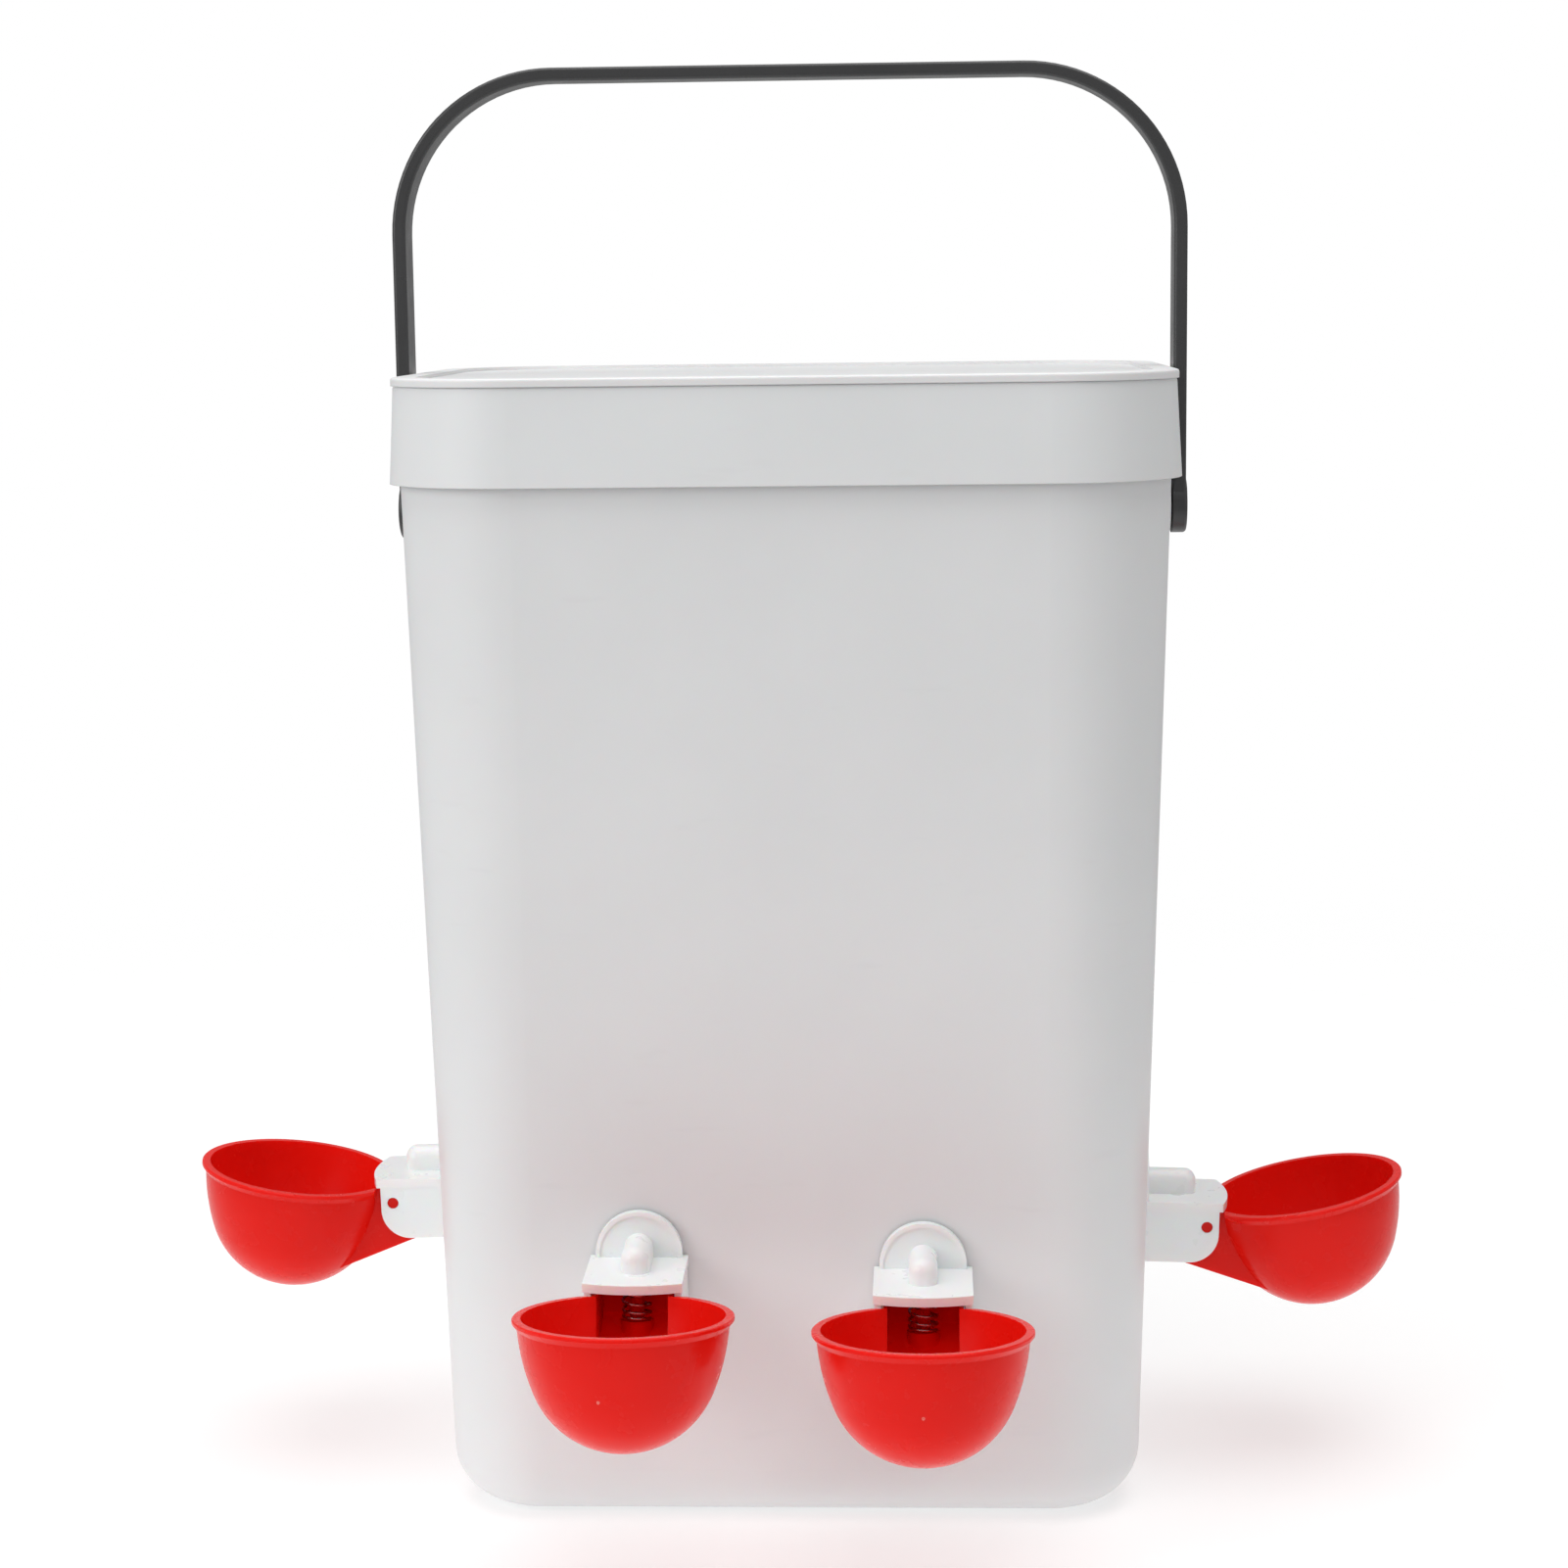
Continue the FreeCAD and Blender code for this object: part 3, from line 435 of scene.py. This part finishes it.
def add_world():
    """Plain white surroundings, with one strength for the camera and another as light."""
    world = bpy.data.worlds.new("studio")
    bpy.context.scene.world = world
    world.use_nodes = True
    tree = world.node_tree
    surround = tree.nodes["Background"]
    surround.inputs["Color"].default_value = (1.0, 1.0, 1.0, 1.0)
    rays = tree.nodes.new("ShaderNodeLightPath")
    strength = tree.nodes.new("ShaderNodeMapRange")
    strength.inputs["To Min"].default_value = WORLD_LIGHT
    strength.inputs["To Max"].default_value = WORLD_SEEN
    tree.links.new(rays.outputs["Is Camera Ray"], strength.inputs["Value"])
    tree.links.new(strength.outputs["Result"], surround.inputs["Strength"])


def add_area_light(name, place, target, side, power):
    """A square lamp that faces the target."""
    light = bpy.data.lights.new(name, "AREA")
    light.shape = "RECTANGLE"
    light.size = light.size_y = side
    light.energy = power
    lamp = bpy.data.objects.new(name, light)
    lamp.location = place
    lamp.rotation_euler = (Vector(target) - Vector(place)).to_track_quat("-Z", "Y").to_euler()
    bpy.context.scene.collection.objects.link(lamp)


def add_camera():
    """A long lens a little above the lid, looking slightly down."""
    yaw, pitch, roll = (math.radians(angle) for angle in (CAMERA_YAW, CAMERA_PITCH, CAMERA_ROLL))
    forward = Vector((math.sin(yaw) * math.cos(pitch), math.cos(yaw) * math.cos(pitch),
                      -math.sin(pitch)))
    right = Vector((math.cos(yaw), -math.sin(yaw), 0))
    up = right.cross(forward)
    right_rolled = right * math.cos(roll) + up * math.sin(roll)
    up_rolled = up * math.cos(roll) - right * math.sin(roll)
    lens = bpy.data.cameras.new("camera")
    lens.sensor_width = SENSOR_WIDTH
    lens.lens = LENS_LENGTH
    lens.clip_start = CLIP_START * MM
    camera = bpy.data.objects.new("camera", lens)
    basis = Matrix((right_rolled, up_rolled, -forward)).transposed().to_4x4()
    camera.matrix_world = Matrix.Translation(Vector(CAMERA_PLACE) * MM) @ basis
    bpy.context.scene.collection.objects.link(camera)
    bpy.context.scene.camera = camera


paint_cad_nodes()
for station in CUP_TILTS:
    add_spring(station)
for station in MARK_TURNS:
    add_gate_mark(station)

add_floor()
add_world()
for name, settings in LIGHTS.items():
    add_area_light(name, **settings)
add_camera()
bpy.context.scene.view_settings.view_transform = "Standard"
